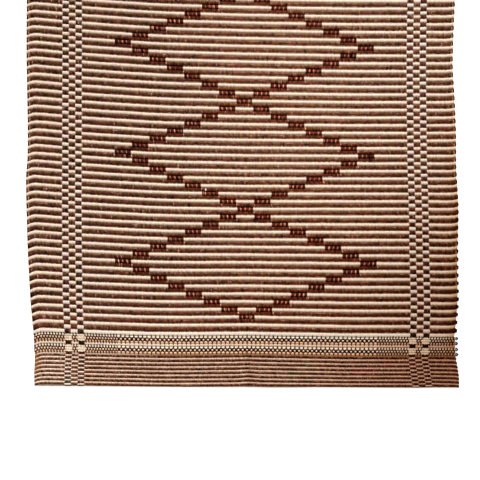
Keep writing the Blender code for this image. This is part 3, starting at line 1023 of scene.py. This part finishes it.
def shade_yarn(add, at, up):
    """Streaks of a few ends, and painted light and shade: painted shade on each dark rib's lower side
    where it turns down, painted light on its top, painted shade in the valleys between the checks and a
    painted highlight on each spot.
    """
    leaning = add(TIMES_PLUS, at.share, STREAK_LEAN, at.end)
    streak = draw_waves(add, leaning, at.rib, STREAK_WAVES, 1.0, 0.7)
    streak = add(PLUS, add(RANGE, streak, *STREAK_SWING), at.chance)
    streak = add(TIMES_PLUS, streak, STREAK_GAIN, STREAK_LOSS)
    at.grain = draw_waves(add, at.end, at.pick, GRAIN_WAVES, 2.0, 0.6)
    # Painted shade on a dark rib's lower side, where it turns down, and painted light on its top
    painted_foot_shade = add(RANGE, at.share, *FOOT, FOOT_SHADE, 1.0)
    painted_top_light = add(RANGE, at.share, *TOP, 1.0, TOP_LIGHT)
    dark_streaks = add(BLEND, at.in_hem, DARK_STREAKS, HEM_DARK_STREAKS)
    dark_tone = add(TIMES_PLUS, streak, dark_streaks, 1.0)
    dark_tone = add(TIMES, dark_tone, add(TIMES, painted_foot_shade, painted_top_light))
    plainer = add(PLUS, at.in_hem, at.in_patch)
    cream_streaks = add(TIMES_PLUS, plainer, PLAINER_CREAM_STREAKS, CREAM_STREAKS)
    cream_tone = add(TIMES_PLUS, streak, cream_streaks, 1.0)
    tone = add(BLEND, up, dark_tone, cream_tone)
    tone = add(TIMES, tone, add(TIMES_PLUS, at.grain, GRAIN_GAIN, GRAIN_LEAST))
    # Painted shade in the valleys between the checks, none in the patches
    painted_valley_shade = add(ABSOLUTE, add(TIMES_PLUS, at.share, 2.0, -1.0))
    painted_valley_shade = add(TIMES, add(POWER, painted_valley_shade, VALLEY_SHARP), at.checks)
    painted_valley_shade = add(TIMES, painted_valley_shade, add(TIMES_PLUS, at.in_patch, -VALLEY_SHADE, VALLEY_SHADE))
    tone = add(TIMES, tone, add(MINUS, 1.0, painted_valley_shade))
    # A painted highlight on the swelling of each spot
    return add(TIMES, tone, add(TIMES_PLUS, at.dome, DOME_LIGHT, 1.0))


RELIEF, RELIEF_BLUR = 0.0003, 0.1  # m that the yarn's bump stands up, and pixels it is smoothed over
CORD_BLUNT = 0.6  # how blunt the round of an end is
GRAIN_RELIEF, DOME_RELIEF = 0.5, 2.0  # what the grain and the swelling of a spot add to an end's
RUST_SHOWS = 0.6
MATT_COTTON = {"Roughness": 0.95, "Specular_IOR_Level": 0.02}
WEFT_TWIST = 900.0  # to a metre, so that the weft's yarn turns about once in a millimetre


def cotton_rep():
    """Warp-faced cotton rep: soft-spun matt yarn, packed so close that the weft is hidden. The eye
    sees round ribs with a fine cord across them, flecked cream and brown, and a dull soft sheen."""
    recipe = Recipe("cotton_rep")
    add = recipe.add
    at = count_threads(add)
    up = raise_ground(add, at)
    up = raise_diamonds(add, at, up)
    up = raise_checks(add, at, up)
    up = raise_edge_line(add, at, up)
    up = raise_slipped_end(add, at, up)
    up = add(ABSOLUTE, add(MINUS, up, at.underside))
    yarn = add(DYE, up, dye_brown(add, at), dye_cream(add, at))
    yarn = add(DYE, at.fleck, yarn, "#D4947C")
    yarn = add(DYE, at.slipped, yarn, "#FFF0E4")
    tone = shade_yarn(add, at, up)
    yarn = add(TINT, 1.0, yarn, add(GREY, tone, tone, tone))
    rusty = add(TIMES, at.rust, RUST_SHOWS)
    yarn = add(DYE, rusty, yarn, "#B8763E")

    # Each end is a round cord with a slight twist, and the spots of the checks swell
    cord = add(COSINE, add(TIMES, at.end, math.pi))
    cord = add(POWER, add(ABSOLUTE, cord), CORD_BLUNT)
    relief = add(TIMES_PLUS, at.grain, GRAIN_RELIEF, cord)
    relief = add(TIMES_PLUS, at.dome, DOME_RELIEF, relief)
    bump = add(BUMP, 0.8, RELIEF, RELIEF_BLUR, relief)
    return recipe.finish_with(Base_Color=yarn, Normal=bump, **MATT_COTTON)


def doubled_weft():
    """Two dark cotton yarns run together as weft: a matt greyish brown with a slow twist."""
    recipe = Recipe("doubled_weft")
    add = recipe.add
    place = add(OWN_PLACE, output="Object")
    twist = add(TWIST, place, WEFT_TWIST, 2.0, 0.6)
    dye = add(DYE, twist, "#140A06", "#30201A")
    bump = add(BUMP, 0.6, RELIEF, RELIEF_BLUR, twist)
    return recipe.finish_with(Base_Color=dye, Normal=bump, **MATT_COTTON)


def white_acrylic():
    """Matt white acrylic, lit a little from below so that it stays white beside the rug."""
    recipe = Recipe("white_acrylic")
    return recipe.finish_with(
        Base_Color="#F7F7F7", Roughness=0.95, Emission_Color=WHITE, Emission_Strength=0.7
    )


def make_floor():
    mesh = bpy.data.meshes.new("floor")
    sides = ((-1, -1), (1, -1), (1, 1), (-1, 1))
    corners = [(x * FLOOR_HALF, y * FLOOR_HALF, FLOOR_HEIGHT) for x, y in sides]
    mesh.from_pydata(corners, [], [(0, 1, 2, 3)])
    mesh.materials.append(white_acrylic())
    return put_in_scene("floor", mesh)


def make_camera(shift):
    """Straight above the rug, square to it, with the near hem low in the picture."""
    aim_x = (PICTURE / 2 - MIDDLE_COLUMN) * PIXEL + shift[0]
    aim_y = (NEAR_EDGE_ROW - PICTURE / 2) * PIXEL + shift[1]
    data = bpy.data.cameras.new("camera")
    data.lens, data.sensor_width = LENS, SENSOR
    camera = put_in_scene("camera", data)
    height = LENS / SENSOR * PICTURE * PIXEL + FIELD.crest
    camera.location = (aim_x * MM, aim_y * MM, height * MM)
    bpy.context.scene.camera = camera


def make_lights():
    """A broad soft light from beyond the far end of the picture, and an even white surround."""
    key = bpy.data.lights.new("key", "SUN")
    key.energy, key.angle = SUN_STRENGTH, math.radians(SUN_SOFT)
    lamp = put_in_scene("key", key)
    lamp.rotation_euler = [math.radians(turn) for turn in SUN_TURN]
    world = bpy.data.worlds.new("surround")
    world.use_nodes = True
    light = world.node_tree.nodes["Background"].inputs
    light["Color"].default_value = linear(WHITE)
    light["Strength"].default_value = SURROUND_STRENGTH
    bpy.context.scene.world = world
    bpy.context.scene.view_settings.view_transform = "Standard"


cloth, shift = make_cloth()
cloth.data.materials.append(cotton_rep())
loops = make_loops(shift)
loops.data.materials.append(doubled_weft())
make_camera(shift)
make_lights()
floor = make_floor()

for piece in (cloth, loops):
    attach(piece, "root")
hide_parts("rug")
